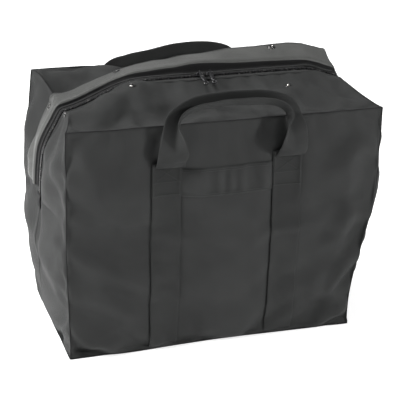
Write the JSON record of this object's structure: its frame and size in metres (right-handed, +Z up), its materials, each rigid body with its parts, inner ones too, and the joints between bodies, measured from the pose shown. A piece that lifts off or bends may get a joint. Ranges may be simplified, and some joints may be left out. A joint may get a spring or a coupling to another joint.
{
  "type": "flight bag",
  "caption": "Soft upright flight bag with a long zip over the top, a folded-back storm flap with snaps, webbing straps and two webbing carry handles.",
  "frame": {"origin": "middle of the footprint, on the surface that the bag stands on", "axes": "+X along the width and the zip, -Y towards the front, +Z up"},
  "size_m": [0.5678, 0.3164, 0.4617],
  "materials": {
    "body_fabric": "matte coated nylon weave",
    "webbing": "matte ribbed nylon webbing",
    "coated_fabric": "satin coated inner face of nylon",
    "tape": "matte woven tape",
    "zip_metal": "blackened metal, worn on the edges",
    "snap_metal": "blackened brass, satin"
  },
  "bodies": {
    "bag": {"bottom_panel": "body_fabric", "front_panel_lower": "body_fabric", "back_panel_lower": "body_fabric", "left_end_lower": "body_fabric", "right_end_lower": "body_fabric", "left_strap_base": "webbing", "right_strap_base": "webbing", "left_zip_stop": "tape", "right_zip_stop": "tape", "bottom_binding": "tape"},
    "front_half": {"front_panel_upper": "body_fabric", "top_front_panel": "body_fabric", "left_front_gusset": "body_fabric", "right_front_gusset": "body_fabric", "front_cross_band": "body_fabric", "left_front_strap": "webbing", "right_front_strap": "webbing", "front_zip_tape": "tape", "front_zip_teeth": "zip_metal", "front_snap_studs": "snap_metal", "front_top_binding": "tape"},
    "back_half": {"back_panel_upper": "body_fabric", "top_back_panel": "body_fabric", "left_back_gusset": "body_fabric", "right_back_gusset": "body_fabric", "back_cross_band": "body_fabric", "left_back_strap": "webbing", "right_back_strap": "webbing", "back_zip_tape": "tape", "back_zip_teeth": "zip_metal", "back_top_binding": "tape", "storm_flap_root": "body_fabric", "left_drop_root": "body_fabric", "right_drop_root": "body_fabric"},
    "storm_flap": {"storm_flap": "coated_fabric", "storm_flap_sockets": "snap_metal"},
    "left_flap_drop": {"left_flap_drop": "coated_fabric"},
    "right_flap_drop": {"right_flap_drop": "coated_fabric"},
    "front_handle": {"front_handle": "webbing"},
    "rear_handle": {"rear_handle": "webbing"},
    "left_slider": {"left_slider": "zip_metal"},
    "left_pull": {"left_pull": "zip_metal"},
    "right_slider": {"right_slider": "zip_metal"},
    "right_pull": {"right_pull": "zip_metal"}
  },
  "joints": [
    {"name": "mouth_front", "type": "hinge", "parent": "bag", "child": "front_half", "pos_m": [0, -0.06675, 0.24], "axis": [1, 0, 0], "range_deg": [0, 18]},
    {"name": "mouth_back", "type": "hinge", "parent": "bag", "child": "back_half", "pos_m": [0, 0.06675, 0.24], "axis": [-1, 0, 0], "range_deg": [0, 18]},
    {"name": "flap_fold", "type": "hinge", "parent": "back_half", "child": "storm_flap", "pos_m": [0, 0.022, 0.442], "axis": [-1, 0, 0], "range_deg": [-165, 0]},
    {"name": "left_drop_fold", "type": "hinge", "parent": "back_half", "child": "left_flap_drop", "pos_m": [-0.283, 0.022, 0.333], "axis": [0, 0, -1], "range_deg": [-165, 0]},
    {"name": "right_drop_fold", "type": "hinge", "parent": "back_half", "child": "right_flap_drop", "pos_m": [0.283, 0.022, 0.333], "axis": [0, 0, 1], "range_deg": [-165, 0]},
    {"name": "front_handle_fold", "type": "hinge", "parent": "front_half", "child": "front_handle", "pos_m": [0, -0.1372, 0.338], "axis": [1, 0, 0], "range_deg": [0, 155]},
    {"name": "rear_handle_fold", "type": "hinge", "parent": "back_half", "child": "rear_handle", "pos_m": [0, 0.1372, 0.338], "axis": [-1, 0, 0], "range_deg": [0, 155]},
    {"name": "left_slider_travel", "type": "slide", "parent": "front_half", "child": "left_slider", "axis": [-1, 0, 0], "range_m": [0, 0.12]},
    {"name": "right_slider_travel", "type": "slide", "parent": "front_half", "child": "right_slider", "axis": [1, 0, 0], "range_m": [0, 0.12]},
    {"name": "left_pull_swing", "type": "hinge", "parent": "left_slider", "child": "left_pull", "pos_m": [-0.009, 0, 0.4364], "axis": [-1, 0, 0], "range_deg": [0, 150]},
    {"name": "right_pull_swing", "type": "hinge", "parent": "right_slider", "child": "right_pull", "pos_m": [0.009, 0, 0.4364], "axis": [-1, 0, 0], "range_deg": [0, 150]}
  ],
  "couplings": [
    {"joint": "mouth_back", "follows": "mouth_front", "ratio": 1},
    {"joint": "left_drop_fold", "follows": "flap_fold", "ratio": 1},
    {"joint": "right_drop_fold", "follows": "flap_fold", "ratio": 1}
  ]
}
